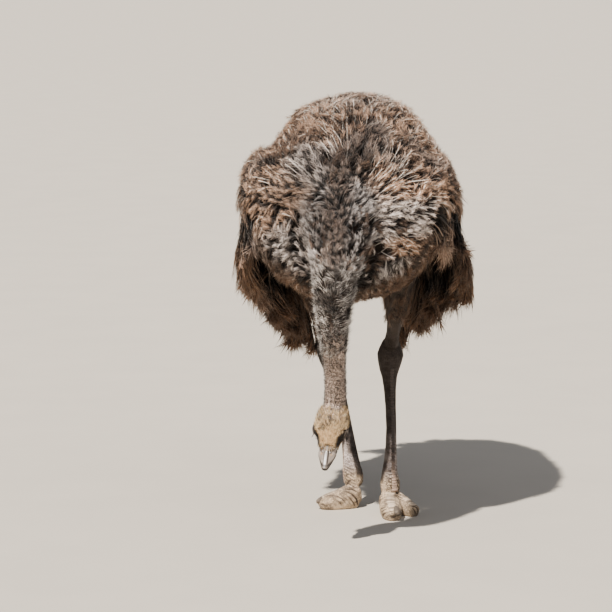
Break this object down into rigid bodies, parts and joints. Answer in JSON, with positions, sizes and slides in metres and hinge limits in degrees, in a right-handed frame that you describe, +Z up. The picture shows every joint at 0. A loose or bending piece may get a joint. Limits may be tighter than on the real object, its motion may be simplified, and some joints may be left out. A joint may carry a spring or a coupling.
{
  "type": "female ostrich feeding with her neck lowered",
  "caption": "Life-size female ostrich standing on both feet, neck curved down and head lowered in front of her legs to feed.",
  "frame": {"origin": "middle of the footprint box, on the floor under the soles", "axes": "+Z up, she faces -Y, her left side is +X"},
  "size_m": [0.689, 1.4298, 1.2464],
  "materials": {
    "body_plumage": "loose soft feathers, grey-brown with tan fringes",
    "dark_plumage": "long loose plumes, dark brown with pale tips",
    "neck_down": "sparse down and bristles over pinkish-grey skin",
    "head_bristle": "short hair-like tan bristles",
    "bill_horn": "satin grey horn, darker at the tip",
    "eye": "wet dark brown",
    "leg_skin": "bare skin with horn scutes down the front",
    "foot_skin": "dry pale scaly skin",
    "claw_horn": "worn grey horn"
  },
  "bodies": {
    "root": {"trunk": "body_plumage", "neck_lower": "body_plumage", "neck_middle": "neck_down", "neck_upper": "neck_down", "head": "head_bristle", "bill_upper": "bill_horn", "bill_lower": "bill_horn", "eye_left": "eye", "eye_right": "eye", "wing_left": "dark_plumage", "wing_right": "dark_plumage", "tail": "dark_plumage", "drumstick_left": "leg_skin", "drumstick_right": "leg_skin", "shank_left": "leg_skin", "shank_right": "leg_skin", "toe_main_left": "foot_skin", "toe_main_right": "foot_skin", "toe_outer_left": "foot_skin", "toe_outer_right": "foot_skin", "claw_left": "claw_horn", "claw_right": "claw_horn"}
  },
  "joints": []
}
